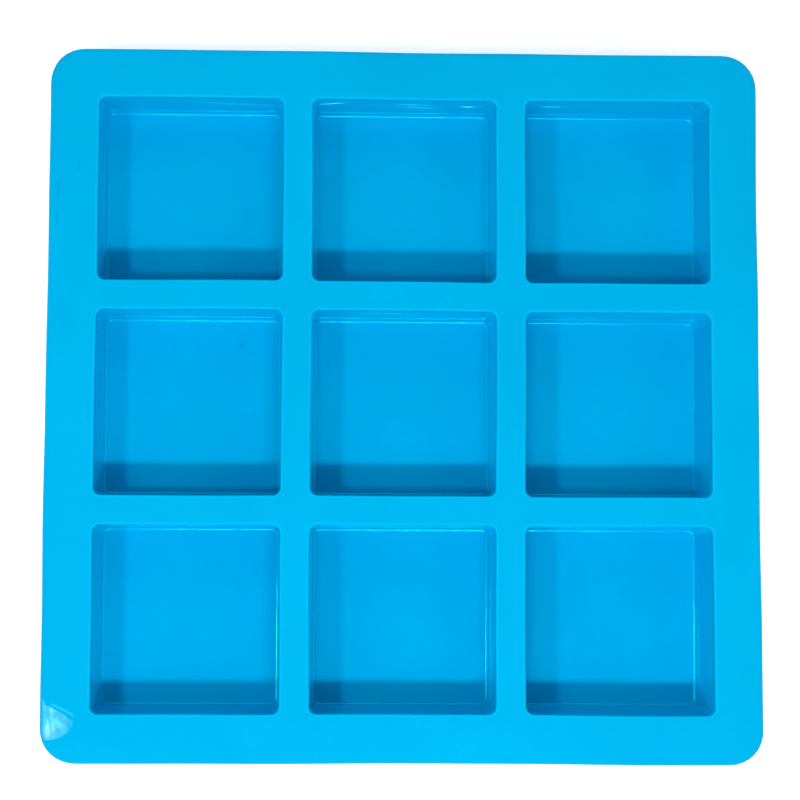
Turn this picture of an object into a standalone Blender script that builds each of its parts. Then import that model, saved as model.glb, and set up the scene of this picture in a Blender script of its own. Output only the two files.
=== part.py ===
"""Silicone soap mould with a three by three grid of square cups. Metres, +Z up.

The real mould is a single soft moulding. Its regions are separate solids here: the flat top deck with nine
square openings, and nine drafted cups that hang from the deck, each a whole vessel with four walls and a
floor.

The origin lies on the surface that the mould stands on, under the middle cup. +X is right and +Y is back.
"""

import math

import bmesh
import bpy

MM = 0.001

# Driving dimensions.
GRID_ROWS = ("back", "middle", "front")
GRID_COLUMNS = ("left", "centre", "right")
MOUTH = 59.5 * MM  # each cup's inner width where it meets the deck's top
WEB = 9.5 * MM  # deck left between two mouths
MARGIN = 15.55 * MM  # deck left outside the outer mouths
CUP_DEPTH = 25 * MM
FLOOR_THICKNESS = 2 * MM
WALL_THICKNESS = 2 * MM
DECK_THICKNESS = 2.5 * MM
DECK_CORNER_RADIUS = 11 * MM
MOUTH_CORNER_RADIUS = 2.5 * MM
WALL_TAPER = 1 / 36  # a cup narrows by this share of its depth on each side

# Edge rounding.
LIP_RADIUS = 0.6 * MM
LIP_FLARE_SHARE = 2 / 3  # of a quarter turn, so that the lip meets the deck's top at a blunt edge
FLOOR_FILLET = 1.2 * MM  # inside, between a cup's walls and its floor
FOOT_RADIUS = 2 * MM  # outside, between a cup's walls and its underside
DECK_EDGE_RADIUS = 0.9 * MM  # along the deck's outline, above and below

GAP = 0.3 * MM  # left between solids that touch on the real moulding
CUTTER_MARGIN = 1 * MM
CORNER_STEPS = 4
ROUNDING_STEPS = 3

# Sizes that follow from the driving dimensions.
PITCH = MOUTH + WEB
DECK_HALF = (3 * MOUTH + 2 * WEB) / 2 + MARGIN
DECK_TOP = FLOOR_THICKNESS + CUP_DEPTH
DECK_UNDERSIDE = DECK_TOP - DECK_THICKNESS

SILICONE_BLUE = (0.0, 0.43, 0.86, 1.0)
DECK_ROUGHNESS = 0.5
CUP_ROUGHNESS = 0.2


def clear_scene():
    for obj in list(bpy.data.objects):
        bpy.data.objects.remove(obj, do_unlink=True)


def silicone(name, roughness):
    """Blue silicone rubber: satin on the deck, glossy in the cups."""
    material = bpy.data.materials.new(name)
    material.use_nodes = True
    shader = material.node_tree.nodes["Principled BSDF"]
    shader.inputs["Base Color"].default_value = SILICONE_BLUE
    shader.inputs["Roughness"].default_value = roughness
    shader.inputs["Metallic"].default_value = 0.0
    return material


def inner_half(height):
    """Half a cup's inner width at this height."""
    return MOUTH / 2 - (DECK_TOP - height) * WALL_TAPER


def rounded_square(half, corner_radius, height):
    """A ring of points round a square with rounded corners, anticlockwise from above."""
    points = []
    for quarter in range(4):
        centre_angle = (quarter + 0.5) * math.pi / 2
        centre_x = math.copysign(half - corner_radius, math.cos(centre_angle))
        centre_y = math.copysign(half - corner_radius, math.sin(centre_angle))
        for step in range(CORNER_STEPS + 1):
            angle = (quarter + step / CORNER_STEPS) * math.pi / 2
            x = centre_x + corner_radius * math.cos(angle)
            y = centre_y + corner_radius * math.sin(angle)
            points.append((x, y, height))
    return points


def quarter_round(radius, share=1.0):
    """(inset, rise) of points along a quarter circle that starts upright and leans inwards."""
    found = []
    for step in range(ROUNDING_STEPS + 1):
        angle = share * step / ROUNDING_STEPS * math.pi / 2
        found.append((radius * (1 - math.cos(angle)), radius * math.sin(angle)))
    return found


def loft(name, rings):
    """A mesh whose skin runs from ring to ring, with the first and the last ring filled."""
    shape = bmesh.new()
    loops = [[shape.verts.new(point) for point in ring] for ring in rings]
    for near, far in zip(loops, loops[1:]):
        for i in range(len(near)):
            j = (i + 1) % len(near)
            shape.faces.new((near[i], near[j], far[j], far[i]))
    shape.faces.new(loops[0])
    shape.faces.new(loops[-1])
    bmesh.ops.recalc_face_normals(shape, faces=shape.faces)
    mesh = bpy.data.meshes.new(name)
    shape.to_mesh(mesh)
    shape.free()
    mesh.shade_smooth()
    mesh.set_sharp_from_angle(angle=math.radians(35))
    return mesh


def place(name, mesh, x, y, collection):
    obj = bpy.data.objects.new(name, mesh)
    obj.location = (x, y, 0)
    collection.objects.link(obj)
    return obj


def grid_places():
    """(row name, column name, x, y) of each cup, row by row from the back left one."""
    for row, row_name in enumerate(GRID_ROWS):
        for column, column_name in enumerate(GRID_COLUMNS):
            yield row_name, column_name, (column - 1) * PITCH, (1 - row) * PITCH


def deck_plate():
    """The deck before its openings are cut, with its outline rounded above and below."""
    rings = []
    for inset, drop in reversed(quarter_round(DECK_EDGE_RADIUS)):
        height = DECK_UNDERSIDE + DECK_EDGE_RADIUS - drop
        rings.append(rounded_square(DECK_HALF - inset, DECK_CORNER_RADIUS - inset, height))
    for inset, rise in quarter_round(DECK_EDGE_RADIUS):
        height = DECK_TOP - DECK_EDGE_RADIUS + rise
        rings.append(rounded_square(DECK_HALF - inset, DECK_CORNER_RADIUS - inset, height))
    return loft("top_deck", rings)


def mouth_space():
    """The space that one cup's mouth takes from the deck. It flares at the top, which rounds the lip."""
    low = DECK_UNDERSIDE - CUTTER_MARGIN
    lip_start = DECK_TOP - LIP_RADIUS
    rings = [rounded_square(inner_half(low), MOUTH_CORNER_RADIUS, low)]
    flare = quarter_round(LIP_RADIUS, share=LIP_FLARE_SHARE)
    for outset, rise in flare:
        half = inner_half(lip_start) + outset
        rings.append(rounded_square(half, MOUTH_CORNER_RADIUS + outset, lip_start + rise))
    last_outset, last_rise = flare[-1]
    outset = last_outset + CUTTER_MARGIN * math.tan(LIP_FLARE_SHARE * math.pi / 2)
    top = lip_start + last_rise + CUTTER_MARGIN
    rings.append(rounded_square(inner_half(lip_start) + outset, MOUTH_CORNER_RADIUS + outset, top))
    return loft("mouth_cutter", rings)


def top_deck(material):
    """The flat sheet that joins the nine mouths."""
    scene_collection = bpy.context.scene.collection
    deck = place("top_deck", deck_plate(), 0, 0, scene_collection)
    deck.data.materials.append(material)
    cutters = bpy.data.collections.new("mouth_cutters")
    scene_collection.children.link(cutters)
    space = mouth_space()
    for _, _, x, y in grid_places():
        cutter = place("mouth_cutter", space, x, y, cutters)
        cutter.hide_render = True
        cutter.display_type = "WIRE"
    cut = deck.modifiers.new("mouths", "BOOLEAN")
    cut.operation = "DIFFERENCE"
    cut.operand_type = "COLLECTION"
    cut.collection = cutters


def cup_shape():
    """One square vessel: its underside, outer walls, top edge, inner walls and floor."""
    outer_radius = MOUTH_CORNER_RADIUS + WALL_THICKNESS
    top = DECK_UNDERSIDE - GAP
    rings = []
    for inset, drop in reversed(quarter_round(FOOT_RADIUS)):
        half = inner_half(FOOT_RADIUS) + WALL_THICKNESS - inset
        rings.append(rounded_square(half, outer_radius - inset, FOOT_RADIUS - drop))
    rings.append(rounded_square(inner_half(top) + WALL_THICKNESS, outer_radius, top))
    rings.append(rounded_square(inner_half(top), MOUTH_CORNER_RADIUS, top))
    fillet_start = FLOOR_THICKNESS + FLOOR_FILLET
    for inset, drop in quarter_round(FLOOR_FILLET):
        half = inner_half(fillet_start) - inset
        rings.append(rounded_square(half, MOUTH_CORNER_RADIUS - inset, fillet_start - drop))
    return loft("cup", rings)


def nine_cups(material):
    """The cups, which share one mesh. Their names give the row, then the column."""
    shape = cup_shape()
    shape.materials.append(material)
    for row_name, column_name, x, y in grid_places():
        place(f"cup_{row_name}_{column_name}", shape, x, y, bpy.context.scene.collection)


def main():
    clear_scene()
    satin = silicone("satin_silicone", DECK_ROUGHNESS)
    gloss = silicone("gloss_silicone", CUP_ROUGHNESS)
    top_deck(satin)
    nine_cups(gloss)


main()
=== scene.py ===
"""Looks of the silicone soap mould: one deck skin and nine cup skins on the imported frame, in studio light.

Metres, +Z up. The skins are built from closed rings of points, and one bend is put through all of them, so
that each cup meets the deck along the same line wherever the soft moulding sags or waves.
"""

import math

import bmesh
import bpy
import numpy as np
from mathutils import Matrix, Vector


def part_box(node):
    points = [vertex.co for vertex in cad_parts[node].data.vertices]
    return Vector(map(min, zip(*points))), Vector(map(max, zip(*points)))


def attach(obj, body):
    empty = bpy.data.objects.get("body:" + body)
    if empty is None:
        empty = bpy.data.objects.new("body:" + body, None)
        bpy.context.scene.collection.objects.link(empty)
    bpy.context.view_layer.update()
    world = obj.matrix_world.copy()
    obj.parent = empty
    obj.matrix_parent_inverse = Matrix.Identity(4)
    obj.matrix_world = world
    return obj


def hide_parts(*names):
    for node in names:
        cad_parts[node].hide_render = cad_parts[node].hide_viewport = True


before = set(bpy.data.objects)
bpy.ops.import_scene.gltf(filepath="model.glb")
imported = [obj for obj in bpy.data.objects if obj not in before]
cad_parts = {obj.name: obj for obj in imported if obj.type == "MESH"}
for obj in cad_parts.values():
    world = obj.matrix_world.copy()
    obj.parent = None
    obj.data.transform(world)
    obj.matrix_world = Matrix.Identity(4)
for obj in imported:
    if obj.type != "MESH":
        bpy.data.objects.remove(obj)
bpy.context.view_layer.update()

MM = 0.001

# Sizes read from the frame.
deck_low, deck_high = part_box("top_deck")
DECK_HALF = deck_high.x
DECK_TOP = deck_high.z
DECK_UNDERSIDE = deck_low.z
CUP_NODES = sorted(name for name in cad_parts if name.startswith("cup_"))
CUP_BOXES = {name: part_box(name) for name in CUP_NODES}
CUP_CENTRES = {name: ((low + high) / 2).xy for name, (low, high) in CUP_BOXES.items()}
PITCH = max(centre.x for centre in CUP_CENTRES.values())

# The moulding's own sizes, as the CAD part has them.
MOUTH_HALF = 29.75 * MM
MOUTH_CORNER_RADIUS = 2.5 * MM
WALL_TAPER = 1 / 36
WALL_THICKNESS = 2 * MM
FLOOR_THICKNESS = 2 * MM
DECK_CORNER_RADIUS = 11 * MM

# Edge rounding.
LIP_RADIUS = 0.6 * MM
FLOOR_FILLET = 0.9 * MM
FOOT_RADIUS = 2 * MM
DECK_EDGE_RADIUS = 1 * MM
ROOT_FILLET = 1 * MM  # outside, between a cup's walls and the deck's underside

# Mesh density.
SIDE_STEPS = 38
CORNER_STEPS = 14
LIP_STEPS = 5
FILLET_STEPS = 8
EDGE_STEPS = 5
WALL_STEPS = 42
DECK_STEPS = 9
NEAR_LIP = (0.0, 0.4 * MM, 0.8 * MM, 1.3 * MM, 2.0 * MM)  # the deck's first rings, out from a mouth
FILL_MARGIN = 1.2 * MM  # between a cup floor's last ring and the square grid that fills it
WELD = 1e-6
SHARP_ANGLE = math.radians(40)

# How far the soft moulding waves, sags and sways at the deck.
DECK_WAVE = 0.22 * MM
DECK_FINE_WAVE = 0.1 * MM
EDGE_SAG = 0.5 * MM
EDGE_WAVE = 0.18 * MM
SWAY = 0.1 * MM
FINE_SWAY = 0.06 * MM
BEND_POWER = 1.5  # how the bend grows with height, from nothing at the feet

# How far the deck is pulled out of square.
TWIST = 0.4 * MM
RIGHT_PULL = 0.55 * MM
FRONT_RIGHT_PULL = 0.7 * MM
LEFT_EDGE_PULL = 0.3 * MM
MARGIN_PULL = 0.2 * MM
FRONT_CORNER_PULL = 0.4 * MM
FRONT_PULL = 0.4 * MM
BACK_MOUTH_PULL = 0.35 * MM

# How far the cups' thin walls belly and ripple.
WALL_BOW = 0.04 * MM
WALL_RIPPLE = 0.02 * MM
WALL_RIPPLE_LENGTH = 8.5 * MM

# The curl at the deck's front left corner.
CURL_CENTRE = (-109.5 * MM, -102 * MM)
CURL_SLOPE = (0.06, -0.03)
CURL_REACH = 8 * MM

# Small buckles in the cups' far walls, where the thin wall hangs from the stiff deck. Each is (cup, place
# along the wall, half length, height, rise along the wall, arch above its ends, steepness).
BUCKLE_WIDTH = 1.3 * MM
BUCKLES = (
    ("cup_back_centre", 3 * MM, 17 * MM, 17.0 * MM, -0.03, 2.0 * MM, 0.185),
    ("cup_back_centre", 5 * MM, 15 * MM, 16.6 * MM, -0.03, -1.8 * MM, 0.175),
    ("cup_back_centre", -23 * MM, 6 * MM, 19.5 * MM, 0.35, 0.0, 0.2),
    ("cup_back_centre", 22 * MM, 6 * MM, 17 * MM, -0.3, 0.0, 0.16),
    ("cup_back_left", 13 * MM, 18 * MM, 17.3 * MM, -0.175, 0.0, 0.15),
    ("cup_back_right", -20 * MM, 4 * MM, 17.5 * MM, -0.1, 0.0, 0.21),
    ("cup_middle_centre", -6 * MM, 12 * MM, 19 * MM, -0.1, 0.5 * MM, 0.14),
)

# Colours, and what noise nodes give.
# Painted shade: the deck's blue is a darker copy of the cups' gloss blue, the same silicone toned down on the
# deck.
SHADED_DECK_BLUE = (0.0, 0.361, 0.672)
GLOSS_BLUE = (0.0, 0.386, 0.72)
# Painted highlight: the pale cyan of the glint along the corner's fold.
PAINTED_FOLD_HIGHLIGHT_BLUE = (0.015, 0.6, 0.9)
SPECULAR_TINT = (0.0, 0.9, 1.0)
SHEEN_TINT = (0.0, 0.6, 0.92)
WORN_SHADE = 0.8  # a mark's colour, as a share of the skin's own
NOISE_LOW, NOISE_HIGH = 0.3, 0.7

# The stage. Distances are metres.
FLOOR_CLEARANCE = 0.2 * MM  # keeps the mould's feet from sharing the stage floor's plane
FLOOR_REACH = 1.6  # the flat floor's radius
SWEEP_RADIUS = 1.2  # of the quarter circle in which the floor rises
FLOOR_GLOW, FAR_GLOW = 0.5, 0.95  # near the mould, and beyond the lamps' reach
SWEEP_GLOW = 0.2  # how much of that is left on the sweep
WORLD_GLOW = 0.01

# The camera. It stands this far from the deck, turned by these angles from straight overhead.
CAMERA_DISTANCE = 0.694
CAMERA_ASIDE = (-1.2 * MM, 1.0 * MM)
CAMERA_LENS = 97.4
CAMERA_SENSOR = 36
CAMERA_TURN = math.radians(-0.38)
CAMERA_TO_LEFT = math.radians(1.98)
CAMERA_TO_FRONT = math.radians(-3.63)


# Rings ---------------------------------------------------------------------------------------------------


def quarter_turns(points, number):
    """(x, y) points turned by this many right angles about the origin."""
    for _ in range(number):
        points = np.column_stack([-points[:, 1], points[:, 0]])
    return points


def at_height(points, height):
    """(x, y, z) points, from (x, y) ones."""
    return np.column_stack([points, np.full(len(points), height)])


def straight_run(straight):
    """Places along a square's side, without the last."""
    return np.linspace(-straight, straight, SIDE_STEPS, endpoint=False)


def square_ring(half, radius, height):
    """Points round a square with rounded corners, anticlockwise from the right side's front end."""
    straight = half - radius
    side = np.column_stack([np.full(SIDE_STEPS, half), straight_run(straight)])
    turn = np.linspace(0, math.pi / 2, CORNER_STEPS, endpoint=False)
    corner = straight + radius * np.column_stack([np.cos(turn), np.sin(turn)])
    quarter = np.vstack([side, corner])
    return at_height(np.vstack([quarter_turns(quarter, k) for k in range(4)]), height)


def sharp_corner(reach, next_reach, straight):
    """The way round a square corner, in CORNER_STEPS points without the last."""
    share = np.arange(CORNER_STEPS) / CORNER_STEPS
    out = straight + (next_reach - straight) * np.minimum(2 * share, 1)
    back = reach - (reach - straight) * np.maximum(2 * share - 1, 0)
    return np.column_stack([back, out])


def round_corner(reach, radius, straight):
    """The way round a rounded corner, in CORNER_STEPS evenly spaced points without the last."""
    run = reach - radius - straight
    arc = radius * math.pi / 2
    way = np.arange(CORNER_STEPS) / CORNER_STEPS * (2 * run + arc)
    turn = np.clip((way - run) / radius, 0, math.pi / 2)
    x = reach - radius + radius * np.cos(turn) - np.maximum(way - run - arc, 0)
    y = straight + np.minimum(way, run) + radius * np.sin(turn)
    return np.column_stack([x, y])


class Tile:
    """One cup's share of the deck: it runs to half a web, or to the deck's outline, on each side."""

    def __init__(self, centre):
        self.centre = centre
        ends = (centre.x, centre.y, -centre.x, -centre.y)
        self.outer = [end > PITCH / 2 for end in ends]

    def ring(self, inset, height):
        """The tile's own outline, point for point with square_ring, and drawn in on the deck's edges."""
        straight = MOUTH_HALF - MOUTH_CORNER_RADIUS
        reaches = [DECK_HALF - PITCH - inset if outer else PITCH / 2 for outer in self.outer]
        quarters = []
        for k, reach in enumerate(reaches):
            following = (k + 1) % 4
            side = np.column_stack([np.full(SIDE_STEPS, reach), straight_run(straight)])
            if self.outer[k] and self.outer[following]:
                corner = round_corner(reach, DECK_CORNER_RADIUS - inset, straight)
            else:
                corner = sharp_corner(reach, reaches[following], straight)
            quarters.append(quarter_turns(np.vstack([side, corner]), k))
        return at_height(np.vstack(quarters), height)

    def outline_steps(self):
        """The numbers i for which points i and i + 1 of the ring both lie on the deck's outline."""
        found = []
        block = SIDE_STEPS + CORNER_STEPS
        for k in range(4):
            before, following = self.outer[k - 1], self.outer[(k + 1) % 4]
            if not self.outer[k]:
                continue
            start = k * block - (0 if before else CORNER_STEPS // 2)
            end = k * block + SIDE_STEPS + (CORNER_STEPS if following else CORNER_STEPS // 2)
            found += [i % (4 * block) for i in range(start, end)]
        return found


def rounding(radius, steps):
    """(along, across) of points on a quarter circle that starts along the first and ends along the second."""
    turn = np.linspace(0, math.pi / 2, steps + 1)
    return [(radius * math.sin(t), radius * (1 - math.cos(t))) for t in turn]


def inner_half(height):
    """Half a cup's inner width at this height."""
    return MOUTH_HALF - (DECK_TOP - height) * WALL_TAPER


# Skins ---------------------------------------------------------------------------------------------------


class Skin:
    """A mesh under construction: rings of points, and strips of faces between them."""

    def __init__(self):
        self.points = []
        self.faces = []
        self.count = 0

    def add(self, ring):
        """Takes a ring's points, and returns the number of its first one and how many there are."""
        start = self.count
        self.points.append(ring)
        self.count += len(ring)
        return start, len(ring)

    def strip(self, near, far, steps=None):
        """Joins two rings that were added, all round or at the given steps."""
        (a, size), (b, _) = near, far
        for i in range(size) if steps is None else steps:
            j = (i + 1) % size
            self.faces.append((a + i, a + j, b + j, b + i))

    def strips(self, rings, steps=None):
        """Adds rings and joins each to the next."""
        added = [self.add(ring) for ring in rings]
        for near, far in zip(added, added[1:]):
            self.strip(near, far, steps)
        return added

    def fill(self, ring, half, height):
        """Closes a ring with a square grid of faces."""
        across = np.linspace(-half, half, SIDE_STEPS + 1)
        grid_x, grid_y = np.meshgrid(across, across)
        start, _ = self.add(at_height(np.column_stack([grid_x.ravel(), grid_y.ravel()]), height))

        def grid(column, row):
            return start + row * (SIDE_STEPS + 1) + column

        last = SIDE_STEPS
        for row in range(last):
            for column in range(last):
                near = (grid(column, row), grid(column + 1, row))
                far = (grid(column + 1, row + 1), grid(column, row + 1))
                self.faces.append(near + far)
        border = [grid(last, i) for i in range(last)] + [grid(last - i, last) for i in range(last)]
        border += [grid(0, last - i) for i in range(last)] + [grid(i, 0) for i in range(last)]
        ring_start, size = ring
        block = SIDE_STEPS + CORNER_STEPS
        for k in range(4):
            for i in range(SIDE_STEPS):
                ring_i = ring_start + k * block + i
                here, after = border[k * last + i], border[(k * last + i + 1) % len(border)]
                self.faces.append((ring_i, ring_start + (k * block + i + 1) % size, after, here))
            corner = border[((k + 1) * last) % len(border)]
            for i in range(CORNER_STEPS):
                ring_i = k * block + SIDE_STEPS + i
                self.faces.append((ring_start + ring_i, ring_start + (ring_i + 1) % size, corner))

    def mesh(self, name, centre=(0, 0)):
        """The finished mesh, moved to this centre, with the points that lie together made one."""
        points = np.vstack(self.points) + (centre[0], centre[1], 0)
        mesh = bpy.data.meshes.new(name)
        mesh.from_pydata(points.tolist(), [], self.faces)
        shape = bmesh.new()
        shape.from_mesh(mesh)
        bmesh.ops.remove_doubles(shape, verts=shape.verts, dist=WELD)
        bmesh.ops.recalc_face_normals(shape, faces=shape.faces)
        shape.to_mesh(mesh)
        shape.free()
        return mesh


def move_points(mesh, change):
    """Puts every point of a mesh through change, which takes and returns an array of points."""
    points = np.empty(len(mesh.vertices) * 3)
    mesh.vertices.foreach_get("co", points)
    mesh.vertices.foreach_set("co", change(points.reshape(-1, 3)).ravel())
    mesh.update()


def keep_rim_distance(mesh):
    """Stores how far each point lies from the nearest mouth, in millimetres, for the material to read, which
    paints a highlight beside each mouth.
    """
    points = np.empty(len(mesh.vertices) * 3)
    mesh.vertices.foreach_get("co", points)
    kept = mesh.attributes.new("rim_distance", "FLOAT", "POINT")
    kept.data.foreach_set("value", (rim_distance(points.reshape(-1, 3)) / MM).astype(np.float32))


def deck_shares(mouth_room):
    """Shares of the way from a mouth to the tile's outline, closer together near the lip."""
    near = np.array(NEAR_LIP) / mouth_room
    return np.concatenate([near, np.linspace(near[-1], 1, DECK_STEPS)[1:]])


def deck_mesh():
    """The deck: nine tiles, each with its top, its mouth's lip and wall, its underside and its outer edge."""
    skin = Skin()
    straight_top = DECK_TOP - LIP_RADIUS
    for centre in CUP_CENTRES.values():
        tile = Tile(centre)
        offset = np.array([centre.x, centre.y, 0])
        mouth = square_ring(inner_half(straight_top) + LIP_RADIUS, MOUTH_CORNER_RADIUS + LIP_RADIUS, DECK_TOP)
        border = tile.ring(DECK_EDGE_RADIUS, DECK_TOP)
        shares = deck_shares(PITCH / 2 - MOUTH_HALF)
        skin.strips([mouth + (border - mouth) * share + offset for share in shares])
        lip = [
            square_ring(
                inner_half(straight_top) + LIP_RADIUS - along,
                MOUTH_CORNER_RADIUS + LIP_RADIUS - along,
                DECK_TOP - across,
            )
            for along, across in rounding(LIP_RADIUS, LIP_STEPS)
        ]
        wall = [
            square_ring(inner_half(height), MOUTH_CORNER_RADIUS, height)
            for height in np.linspace(straight_top, DECK_UNDERSIDE, 3)[1:]
        ]
        skin.strips([ring + offset for ring in lip + wall])
        hole = wall[-1]
        border_below = tile.ring(DECK_EDGE_RADIUS, DECK_UNDERSIDE)
        skin.strips([hole + (border_below - hole) * share + offset for share in shares])
        profile = [
            (DECK_EDGE_RADIUS - along, DECK_TOP - across)
            for along, across in rounding(DECK_EDGE_RADIUS, EDGE_STEPS)
        ]
        profile += [(inset, DECK_UNDERSIDE + DECK_TOP - height) for inset, height in reversed(profile)]
        skin.strips([tile.ring(inset, height) + offset for inset, height in profile], tile.outline_steps())
    return skin.mesh("deck_skin")


def cup_mesh(name, centre):
    """One cup: its inner walls and floor, and its outer walls and underside."""
    skin = Skin()
    fillet_top = FLOOR_THICKNESS + FLOOR_FILLET
    inner = [
        square_ring(inner_half(height), MOUTH_CORNER_RADIUS, height)
        for height in np.linspace(DECK_UNDERSIDE, fillet_top, WALL_STEPS + 1)
    ]
    half = inner_half(fillet_top)
    corner = max(MOUTH_CORNER_RADIUS, FLOOR_FILLET + 0.3 * MM)
    inner += [
        square_ring(half - across, corner - across, fillet_top - along)
        for along, across in rounding(FLOOR_FILLET, FILLET_STEPS)[1:]
    ]
    outer_corner = MOUTH_CORNER_RADIUS + WALL_THICKNESS
    root_start = DECK_UNDERSIDE - ROOT_FILLET
    root_half = inner_half(root_start) + WALL_THICKNESS
    outer = [
        square_ring(
            root_half + ROOT_FILLET - along, outer_corner + ROOT_FILLET - along, DECK_UNDERSIDE - across
        )
        for along, across in rounding(ROOT_FILLET, LIP_STEPS)
    ]
    outer += [
        square_ring(inner_half(height) + WALL_THICKNESS, outer_corner, height)
        for height in np.linspace(root_start, FOOT_RADIUS, WALL_STEPS + 1)[1:]
    ]
    foot_half = inner_half(FOOT_RADIUS) + WALL_THICKNESS
    outer += [
        square_ring(foot_half - across, outer_corner - across, FOOT_RADIUS - along)
        for along, across in rounding(FOOT_RADIUS, FILLET_STEPS)[1:]
    ]
    inner_rings = skin.strips(inner)
    outer_rings = skin.strips(outer)
    skin.strip(inner_rings[0], outer_rings[0])
    skin.fill(inner_rings[-1], half - FLOOR_FILLET - FILL_MARGIN, FLOOR_THICKNESS)
    skin.fill(outer_rings[-1], foot_half - FOOT_RADIUS - FILL_MARGIN, 0)
    return skin.mesh(name, centre)


# The soft moulding's own shape ---------------------------------------------------------------------------


def ramp(value, start, end):
    """0 before start, 1 after end, and smooth between."""
    share = np.clip((value - start) / (end - start), 0, 1)
    return share * share * (3 - 2 * share)


def wave(x, y, length_x, length_y, phase=0.0):
    """A sine wave over the deck, with these lengths along the two axes. A minus turns it the other way."""
    return np.sin(2 * math.pi * (x / length_x + y / length_y) + phase)


def beyond_mouths(x, y):
    """How far out in the deck's outer margin each point lies."""
    return np.maximum(np.abs(x), np.abs(y)) - PITCH - MOUTH_HALF


def rim_distance(points):
    """How far each point lies outside the nearest mouth, before the moulding is bent."""
    flat = points[:, :2]
    nearest = np.clip(np.round(flat / PITCH), -1, 1) * PITCH
    beyond = np.maximum(np.abs(flat - nearest) - (MOUTH_HALF - MOUTH_CORNER_RADIUS), 0)
    return np.hypot(beyond[:, 0], beyond[:, 1]) - MOUTH_CORNER_RADIUS


def skewed(x, y):
    """How far the deck is stretched out of square, as (dx, dy)."""
    across, along = x / DECK_HALF, y / DECK_HALF
    outside = ramp(beyond_mouths(x, y), -4 * MM, 12 * MM)
    to_right = ramp(x, 25 * MM, 105 * MM)
    to_front = ramp(-y, 20 * MM, 100 * MM)
    front_row = ramp(-y, 40 * MM, 110 * MM)
    front_right = ramp(across - along, 1.0, 2.0)
    left_edge = ramp(-x, 100 * MM, 114 * MM)
    back_mouths = ramp(y, 60 * MM, 95 * MM) * ramp(-y, -112 * MM, -102 * MM) * ramp(-x, -70 * MM, 0)
    dx = -TWIST * across * along - LEFT_EDGE_PULL * left_edge
    dx += to_right * (RIGHT_PULL + FRONT_RIGHT_PULL * to_front)
    dy = -MARGIN_PULL * outside - FRONT_CORNER_PULL * front_right
    dy -= FRONT_PULL * front_row + BACK_MOUTH_PULL * back_mouths
    return dx, dy


def curled(x, y):
    """Heights of the curl in the deck's corner, which shows only as gloss and shade."""
    from_corner_x = x - CURL_CENTRE[0]
    from_corner_y = y - CURL_CENTRE[1]
    near = np.exp(-(from_corner_x**2 + from_corner_y**2) / (2 * CURL_REACH**2))
    return (CURL_SLOPE[0] * from_corner_x + CURL_SLOPE[1] * from_corner_y) * near


def buckled(x, y, z):
    """How far the buckles push each point outwards."""
    moved = np.zeros_like(x)
    for cup, place, half_length, height, rise, arch, steepness in BUCKLES:
        along = x - CUP_CENTRES[cup].x - place
        beyond = y - CUP_CENTRES[cup].y - MOUTH_HALF
        on_wall = ramp(beyond, -4 * MM, -1.5 * MM) * ramp(-beyond, -4 * MM, -3 * MM)
        crest = height + rise * along + arch * (1 - (along / half_length) ** 2)
        across = (z - crest) / BUCKLE_WIDTH
        swing = steepness * BUCKLE_WIDTH * across * np.exp(-(across**2) / 2)
        moved += on_wall * swing * np.exp(-((along / half_length) ** 4))
    return moved


def bowed(points):
    """The walls' bows: each cup's thin walls belly in and out between the stiff deck and the floor."""
    x, y, z = points.T
    centre_x = np.clip(np.round(x / PITCH), -1, 1) * PITCH
    centre_y = np.clip(np.round(y / PITCH), -1, 1) * PITCH
    from_x, from_y = x - centre_x, y - centre_y
    depth = np.clip((DECK_UNDERSIDE - z) / (DECK_UNDERSIDE - 5 * MM), 0, 1)
    held = np.sin(math.pi * depth) ** 2
    turn = 2 * math.pi
    move_x, move_y = np.zeros_like(x), np.zeros_like(y)
    sides = ((from_x, from_y, move_x, 0.0), (from_y, from_x, move_y, 1.7))
    for outward, along, moved, seed in sides:
        on_wall = ramp(np.abs(outward), MOUTH_HALF - 4 * MM, MOUTH_HALF - 1.5 * MM)
        on_wall = on_wall * ramp(-np.abs(along), -(MOUTH_HALF - 1.5 * MM), -(MOUTH_HALF - 9 * MM))
        side = np.sign(outward)
        phase = seed + 3.1 * centre_x / PITCH + 1.9 * centre_y / PITCH + 0.8 * side
        drift = 0.9 * np.sin(turn * along / (47 * MM) + phase) + 2 * phase
        ripple = np.sin(turn * z / WALL_RIPPLE_LENGTH + drift)
        swell = 0.6 + 0.4 * np.sin(turn * along / (39 * MM) + 2.3 * phase)
        moved += side * on_wall * held * swell * (WALL_RIPPLE * ripple + WALL_BOW)
    free = ramp(depth, 0, 0.12) * ramp(1 - depth, 0, 0.12)
    move_y += free * buckled(x, y, z)
    return np.column_stack([x + move_x, y + move_y, z])


def flexed(points):
    """The lie of a soft moulding on a table: still at the feet, and waving and sagging at the deck."""
    x, y, z = bowed(points).T
    share = np.clip(z / DECK_TOP, 0, 1) ** BEND_POWER
    rise = DECK_WAVE * wave(x, y, 131 * MM, 287 * MM, 0.7) * wave(x, y, -400 * MM, 117 * MM, 2.1)
    rise += DECK_FINE_WAVE * wave(x, y, 61 * MM, -173 * MM, 4.0)
    margin = beyond_mouths(x, y)
    rise -= EDGE_SAG * ramp(margin, 2 * MM, DECK_HALF - PITCH - MOUTH_HALF + 4 * MM)
    edge_wave = wave(x, y, 83 * MM, -83 * MM, 1.0) + wave(x, y, 139 * MM, 139 * MM, 2.0)
    rise += EDGE_WAVE * ramp(margin, 2 * MM, 16 * MM) * edge_wave
    skew_x, skew_y = skewed(x, y)
    sway_x = SWAY * wave(x, y, 500 * MM, 149 * MM, 0.4) + FINE_SWAY * wave(x, y, 210 * MM, 53 * MM)
    sway_y = SWAY * wave(x, y, 157 * MM, 500 * MM, 2.6) + FINE_SWAY * wave(x, y, 59 * MM, 190 * MM)
    moved_x = x + share * (sway_x + skew_x)
    moved_y = y + share * (sway_y + skew_y)
    return np.column_stack([moved_x, moved_y, z + share * (rise + curled(x, y))])


# Materials -----------------------------------------------------------------------------------------------


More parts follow.
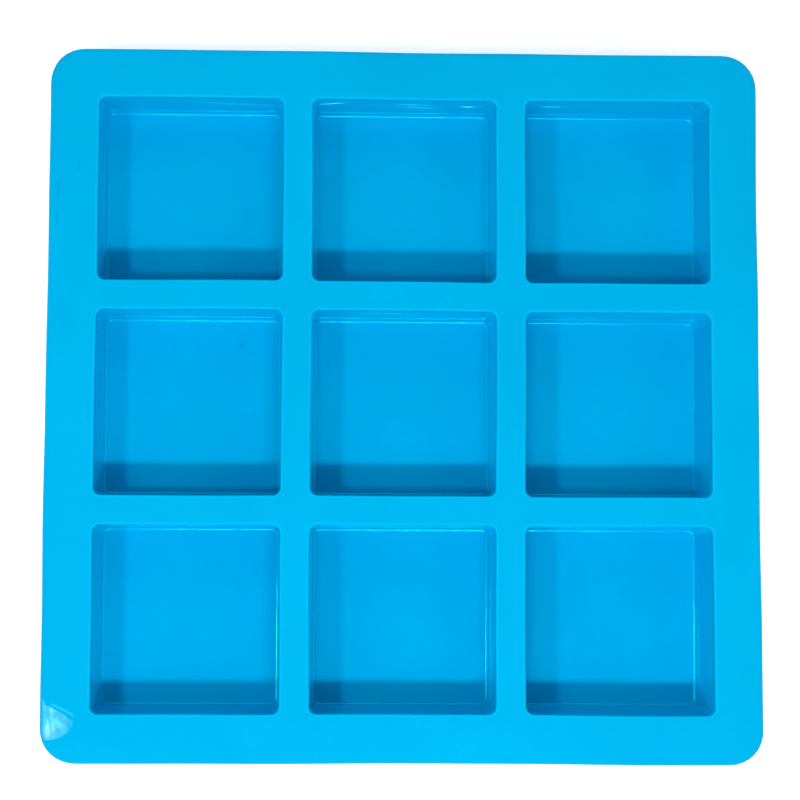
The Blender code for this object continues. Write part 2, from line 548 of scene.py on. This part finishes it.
class Nodes:
    """Short calls that build one material's nodes. A socket takes a number, a tuple or another socket."""

    def __init__(self, name):
        self.material = bpy.data.materials.new(name)
        self.material.use_nodes = True
        self.tree = self.material.node_tree
        self.shader = self.tree.nodes["Principled BSDF"]
        self.place = self.add("TexCoord").outputs["Object"]

    def feed(self, socket, value):
        """Links another socket to this one, or sets its value."""
        if isinstance(value, bpy.types.NodeSocket):
            self.tree.links.new(value, socket)
        elif isinstance(value, tuple) and len(value) == 3 and socket.type == "RGBA":
            socket.default_value = (*value, 1)
        else:
            socket.default_value = value

    def uniform(self, values):
        """Sets sockets of the shader to fixed values."""
        for name, value in values.items():
            self.feed(self.shader.inputs[name], value)

    def add(self, kind, settings=(), **inputs):
        """A new node with these settings and inputs. An underscore in an input's name stands for a space."""
        node = self.tree.nodes.new("ShaderNode" + kind)
        for key, value in dict(settings).items():
            setattr(node, key, value)
        for key, value in inputs.items():
            self.feed(node.inputs[key.replace("_", " ")], value)
        return node

    def noise(self, scale, detail=3, place=None, distortion=0.0):
        """Noise from about NOISE_LOW to NOISE_HIGH. The scale is in waves a metre."""
        inputs = {"Vector": place or self.place, "Scale": scale, "Detail": detail, "Distortion": distortion}
        return self.add("TexNoise", **inputs).outputs["Fac"]

    def noise_between(self, low, high, scale, **inputs):
        """Noise that is spread over this range."""
        return self.remap(self.noise(scale, **inputs), NOISE_LOW, NOISE_HIGH, low, high)

    def maths(self, operation, first, second=0.0):
        """The result of a sum on two sockets or numbers."""
        node = self.add("Math", {"operation": operation})
        self.feed(node.inputs[0], first)
        self.feed(node.inputs[1], second)
        return node.outputs[0]

    def remap(self, value, low, high, to_low=0.0, to_high=1.0):
        """The value taken smoothly from one range to another."""
        node = self.add("MapRange", {"interpolation_type": "SMOOTHSTEP"}, Value=value)
        ends = {"From Min": low, "From Max": high, "To Min": to_low, "To Max": to_high}
        for socket, number in ends.items():
            node.inputs[socket].default_value = number
        return node.outputs[0]

    def blend(self, share, first, second):
        """The first colour, with this share of the second."""
        first_colour, second_colour, result = 6, 7, 2  # a Mix node numbers its colour sockets so
        node = self.add("Mix", {"data_type": "RGBA"})
        self.feed(node.inputs["Factor"], share)
        self.feed(node.inputs[first_colour], first)
        self.feed(node.inputs[second_colour], second)
        return node.outputs[result]

    def moved(self, centre, turn=0.0, stretch=(1, 1, 1)):
        """The place seen from a centre, turned about the vertical and divided by the stretch."""
        mapping = self.add("Mapping", {"vector_type": "TEXTURE"}, Vector=self.place)
        mapping.inputs["Location"].default_value = centre
        mapping.inputs["Rotation"].default_value = (0, 0, turn)
        mapping.inputs["Scale"].default_value = stretch
        return mapping.outputs[0]

    def spot(self, centre, size, turn=0.0, inner=0.5):
        """1 inside an ellipsoid with these half lengths, fading to 0 at its surface."""
        length = self.add("VectorMath", {"operation": "LENGTH"})
        self.feed(length.inputs[0], self.moved(centre, turn, size))
        return self.remap(length.outputs["Value"], inner, 1.0, 1.0, 0.0)

    def bump(self, height, strength, distance, normal=None):
        """A normal that follows this height, on top of another normal."""
        node = self.add("Bump", Height=height, Strength=strength, Distance=distance)
        if normal:
            self.feed(node.inputs["Normal"], normal)
        return node.outputs["Normal"]

    def specks(self, scale, size, share):
        """Sparse round specks: this share of the cells of a grid holds one, of about this size in metres."""
        cells = self.add("TexVoronoi", Vector=self.place, Scale=scale)
        near = self.remap(cells.outputs["Distance"], size * scale * 0.4, size * scale, 1.0, 0.0)
        chosen = self.add("SeparateColor", Color=cells.outputs["Color"]).outputs[0]
        return self.maths("MULTIPLY", near, self.remap(chosen, 1 - share, 1 - share + 0.01))

    def largest(self, values):
        """The largest of some sockets at each place."""
        result = values[0]
        for value in values[1:]:
            result = self.maths("MAXIMUM", result, value)
        return result


def shade(colour, share):
    """A colour that is darkened or paled to this share of itself."""
    return tuple(share * part for part in colour)


def silicone(name, colour, ior, specular):
    """The start of a silicone material, as its nodes and its colour, which is mottled and finely grained."""
    nodes = Nodes(name)
    nodes.uniform({"IOR": ior, "Specular IOR Level": specular, "Specular Tint": SPECULAR_TINT})
    mottle = nodes.noise_between(0, 1, 24, detail=4)
    fine = nodes.noise_between(0, 1, 420, detail=2)
    base = nodes.blend(mottle, shade(colour, 0.965), shade(colour, 1.025))
    base = nodes.blend(nodes.maths("MULTIPLY", fine, 0.35), base, shade(colour, 0.955))
    return nodes, base


def marked(nodes, base, colour, marks, marks_share, specks, specks_share):
    """The base colour, darkened by these shares where the skin has marks and where it has specks."""
    marks = nodes.maths("MULTIPLY", marks, marks_share)
    specks = nodes.maths("MULTIPLY", nodes.largest(specks), specks_share)
    return nodes.blend(nodes.maths("ADD", marks, specks), base, shade(colour, WORN_SHADE))


def spots(nodes, places, inner):
    """Where any of some spots lies. Each is (centre, half lengths, turn)."""
    return nodes.largest([nodes.spot(centre, size, turn, inner) for centre, size, turn in places])


def painted_rim_highlight(nodes, base, colour):
    """Painted highlight: the deck's colour is paled beside each mouth, standing in for the light line along
    the rounded lip.
    """
    rim = nodes.add("Attribute", {"attribute_name": "rim_distance"}).outputs["Fac"]
    glow = nodes.remap(rim, 0.3, 1.2, 1.0, 0.0)  # the attribute is in millimetres
    return nodes.blend(nodes.maths("MULTIPLY", glow, 0.8), base, shade(colour, 1.16))


def satin_deck():
    """A satin skin that is scuffed in places and polished by handling at one corner, with painted highlights
    beside the mouths and along the corner's fold.
    """
    nodes, base = silicone("satin_silicone", SHADED_DECK_BLUE, ior=1.42, specular=0.25)
    # Painted highlight: the colour is paled beside each mouth.
    base = painted_rim_highlight(nodes, base, SHADED_DECK_BLUE)
    # Painted highlight: a pale cyan line painted along the corner's fold.
    base = nodes.blend(nodes.maths("MULTIPLY", crease(nodes), 0.55), base, PAINTED_FOLD_HIGHLIGHT_BLUE)
    along_edge = nodes.moved((0, 0, 0), -0.13, (0.7 * MM, 6 * MM, 20 * MM))
    streaks = nodes.remap(nodes.noise(1.0, detail=3, place=along_edge), 0.4, 0.6)
    scuff_places = [
        ((-110.7 * MM, 69.6 * MM, DECK_TOP), (1.0 * MM, 7.0 * MM, 4 * MM), -0.135),
        ((-111.1 * MM, 60.0 * MM, DECK_TOP), (1.0 * MM, 3.4 * MM, 4 * MM), -0.1),
        ((-104.4 * MM, 76.0 * MM, DECK_TOP), (0.7 * MM, 2.4 * MM, 4 * MM), -0.15),
    ]
    scuffs = nodes.maths("MULTIPLY", spots(nodes, scuff_places, inner=0.3), streaks)
    specks = [nodes.specks(95, 0.35 * MM, 0.05), nodes.specks(310, 0.16 * MM, 0.05)]
    rough = nodes.noise_between(0.5, 0.6, 38, detail=4, distortion=0.4)
    grain = nodes.noise_between(-0.035, 0.035, 900, detail=2)
    polished, gloss_share = polish(nodes)
    rough = nodes.maths("SUBTRACT", nodes.maths("ADD", rough, grain), nodes.maths("MULTIPLY", polished, 0.34))
    normal = nodes.bump(nodes.noise(75, detail=3), 0.25, 0.12 * MM)
    normal = nodes.bump(nodes.noise(2100, detail=2), 0.16, 0.03 * MM, normal)
    shader = nodes.shader
    nodes.feed(shader.inputs["Base Color"], marked(nodes, base, SHADED_DECK_BLUE, scuffs, 0.8, specks, 0.45))
    nodes.feed(shader.inputs["Roughness"], rough)
    nodes.feed(shader.inputs["Coat Weight"], gloss_share)
    nodes.feed(shader.inputs["Normal"], normal)
    nodes.uniform({"Coat Roughness": 0.24, "Coat IOR": 1.5})
    return nodes.material


def polish(nodes):
    """The corner's gloss, as its area and its strength: a lobe that a crease cuts off, with a tip along
    the deck's edge, brightest at the front."""
    lobe = nodes.spot((-112.4 * MM, -102.0 * MM, DECK_TOP), (8.6 * MM, 5.6 * MM, 6 * MM), 0.12, inner=0.93)
    fold = (-137.9 * MM, -150.6 * MM, DECK_TOP)
    before_crease = nodes.spot(fold, (60 * MM, 60 * MM, 60 * MM), inner=0.993)
    tip = nodes.spot((-115.0 * MM, -97.4 * MM, DECK_TOP), (2.4 * MM, 3.8 * MM, 6 * MM), -0.1, inner=0.6)
    worn_most = nodes.spot((-113.4 * MM, -105.0 * MM, DECK_TOP), (5.2 * MM, 3.4 * MM, 6 * MM), 0.4, inner=0.1)
    upright = nodes.moved((0, 0, 0), 0.0, (1.0 * MM, 2.4 * MM, 4 * MM))
    grain = nodes.remap(nodes.noise(1.0, detail=3, place=upright, distortion=0.3), 0.36, 0.64, 0.45, 0.95)
    share = nodes.maths("ADD", nodes.maths("MULTIPLY", worn_most, 0.5), 0.2)
    area = nodes.maths("MAXIMUM", nodes.maths("MULTIPLY", lobe, before_crease), tip)
    area = nodes.maths("MULTIPLY", area, grain)
    return area, nodes.maths("MULTIPLY", area, share)


def crease(nodes):
    """Painted highlight: the pale line along the fold beyond the corner's gloss, a glint painted into the
    colour.
    """
    centre = (-120.0 * MM, -123.1 * MM, DECK_TOP)
    outer = nodes.spot(centre, (28.8 * MM, 28.8 * MM, 60 * MM), inner=0.993)
    inner = nodes.spot(centre, (28.1 * MM, 28.1 * MM, 60 * MM), inner=0.99)
    length = nodes.spot((-107.7 * MM, -98.2 * MM, DECK_TOP), (4.6 * MM, 4.6 * MM, 6 * MM), inner=0.7)
    return nodes.maths("MULTIPLY", nodes.maths("SUBTRACT", outer, inner), length)


def gloss_cups():
    """A mirror-smooth skin with the faint smudges and specks that use leaves."""
    nodes, base = silicone("gloss_silicone", GLOSS_BLUE, ior=1.46, specular=1.0)
    x, y = CUP_CENTRES["cup_middle_left"]
    smudge_places = [
        ((x + 15.7 * MM, y + 20.2 * MM, FLOOR_THICKNESS), (1.6 * MM, 1.9 * MM, 2 * MM), 0.3),
        ((x + 1.5 * MM, y - 7.6 * MM, FLOOR_THICKNESS), (2.4 * MM, 0.5 * MM, 2 * MM), -0.2),
    ]
    smudges = spots(nodes, smudge_places, inner=0.2)
    specks = [nodes.specks(70, 0.4 * MM, 0.04), nodes.specks(260, 0.18 * MM, 0.04)]
    rough = nodes.noise_between(0.07, 0.13, 30, detail=5, distortion=0.6)
    grain = nodes.noise_between(-0.015, 0.015, 700, detail=2)
    normal = nodes.bump(nodes.noise(55, detail=2), 0.2, 0.1 * MM)
    normal = nodes.bump(nodes.noise(1300, detail=2), 0.06, 0.02 * MM, normal)
    shader = nodes.shader
    nodes.feed(shader.inputs["Base Color"], marked(nodes, base, GLOSS_BLUE, smudges, 0.7, specks, 0.4))
    nodes.feed(shader.inputs["Roughness"], nodes.maths("ADD", rough, grain))
    nodes.feed(shader.inputs["Normal"], normal)
    nodes.uniform({"Sheen Weight": 0.25, "Sheen Roughness": 0.5, "Sheen Tint": SHEEN_TINT})
    return nodes.material


# Making --------------------------------------------------------------------------------------------------


def add_piece(name, mesh, material, node):
    """Bends a skin, gives it its material, and puts it in a node's place."""
    keep_rim_distance(mesh)
    move_points(mesh, flexed)
    mesh.shade_smooth()
    mesh.set_sharp_from_angle(angle=SHARP_ANGLE)
    mesh.materials.append(material)
    piece = bpy.data.objects.new(name, mesh)
    bpy.context.scene.collection.objects.link(piece)
    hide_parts(node)
    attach(piece, "root")


satin = satin_deck()
gloss = gloss_cups()
add_piece("deck_skin", deck_mesh(), satin, "top_deck")
for node, centre in CUP_CENTRES.items():
    name = node.replace("cup_", "cup_skin_")
    add_piece(name, cup_mesh(name, centre), gloss, node)


# Stage ---------------------------------------------------------------------------------------------------


def floor():
    """A pale round sweep that glows faintly by itself, and rises far behind the cameras."""
    flat_radii = np.linspace(0.02, FLOOR_REACH, 12)
    rise = np.linspace(0.1, math.pi / 2, 10)
    radii = np.concatenate([flat_radii, FLOOR_REACH + SWEEP_RADIUS * np.sin(rise)])
    heights = np.concatenate([np.zeros(len(flat_radii)), SWEEP_RADIUS * (1 - np.cos(rise))])
    turn = np.linspace(0, 2 * math.pi, 96, endpoint=False)
    circle = np.column_stack([np.cos(turn), np.sin(turn)])
    skin = Skin()
    added = skin.strips([at_height(radius * circle, height) for radius, height in zip(radii, heights)])
    skin.faces.append(tuple(range(added[0][1])))
    mesh = skin.mesh("floor")
    mesh.shade_smooth()
    nodes = Nodes("pale_floor")
    nodes.uniform({"Base Color": (0.92, 0.92, 0.92), "Emission Color": (1.0, 1.0, 1.0)})
    nodes.uniform({"Roughness": 0.9, "Specular IOR Level": 0.1})
    near = nodes.spot((0, 0, 0), (1.4, 1.4, 1.4), inner=0.4)
    flat = nodes.spot((0, 0, 0), (2.4, 2.4, 2.4), inner=0.79)
    glow = nodes.remap(near, 0, 1, FAR_GLOW, FLOOR_GLOW)
    fade = nodes.remap(flat, 0, 1, SWEEP_GLOW, 1.0)
    nodes.feed(nodes.shader.inputs["Emission Strength"], nodes.maths("MULTIPLY", glow, fade))
    mesh.materials.append(nodes.material)
    obj = bpy.data.objects.new("floor", mesh)
    obj.location.z = -FLOOR_CLEARANCE
    bpy.context.scene.collection.objects.link(obj)


def lamp(name, place, size, power, depth=None):
    """A disc of light, or a strip of this depth, that faces the mould. Its height is above the deck."""
    data = bpy.data.lights.new(name, "AREA")
    data.shape = "RECTANGLE" if depth else "DISK"
    data.size = size
    if depth:
        data.size_y = depth
    data.energy = power
    obj = bpy.data.objects.new(name, data)
    obj.location = Vector(place) + Vector((0, 0, DECK_TOP))
    obj.rotation_euler = (Vector((0, 0, DECK_TOP)) - obj.location).to_track_quat("-Z", "Y").to_euler()
    bpy.context.scene.collection.objects.link(obj)


def lights():
    """A narrow strip and its soft glow in front, a small lamp on the left, and soft boxes on every side."""
    lamp("front_strip", (0.02, -0.39, 0.80), size=0.34, power=4.1, depth=0.06)
    lamp("front_glow", (-0.05, -0.39, 0.80), size=0.35, power=0.8)
    lamp("left_lamp", (-0.34, -0.12, 0.72), size=0.08, power=1.5)
    lamp("front_box", (0.0, -0.8, 0.8), size=0.9, power=2.33)
    lamp("back_box", (0.0, 0.8, 0.8), size=0.8, power=2.72)
    lamp("left_box", (-0.8, 0.0, 0.8), size=0.8, power=1.94)
    lamp("right_box", (0.8, 0.0, 0.8), size=0.8, power=2.28)
    world = bpy.data.worlds.new("studio")
    bpy.context.scene.world = world
    world.use_nodes = True
    background = world.node_tree.nodes["Background"]
    background.inputs["Color"].default_value = (1, 1, 1, 1)
    background.inputs["Strength"].default_value = WORLD_GLOW


def camera():
    """Nearly overhead, and a little to the front and the left."""
    data = bpy.data.cameras.new("camera")
    data.sensor_width = CAMERA_SENSOR
    data.lens = CAMERA_LENS
    obj = bpy.data.objects.new("camera", data)
    tilt = Matrix.Rotation(CAMERA_TURN, 3, "Z") @ Matrix.Rotation(CAMERA_TO_LEFT, 3, "Y")
    tilt = tilt @ Matrix.Rotation(CAMERA_TO_FRONT, 3, "X")
    centre = Matrix.Translation((0, 0, DECK_TOP))
    back = Matrix.Translation((*CAMERA_ASIDE, CAMERA_DISTANCE))
    obj.matrix_world = centre @ tilt.transposed().to_4x4() @ back
    bpy.context.scene.collection.objects.link(obj)
    bpy.context.scene.camera = obj


floor()
lights()
camera()
bpy.context.scene.view_settings.view_transform = "Standard"
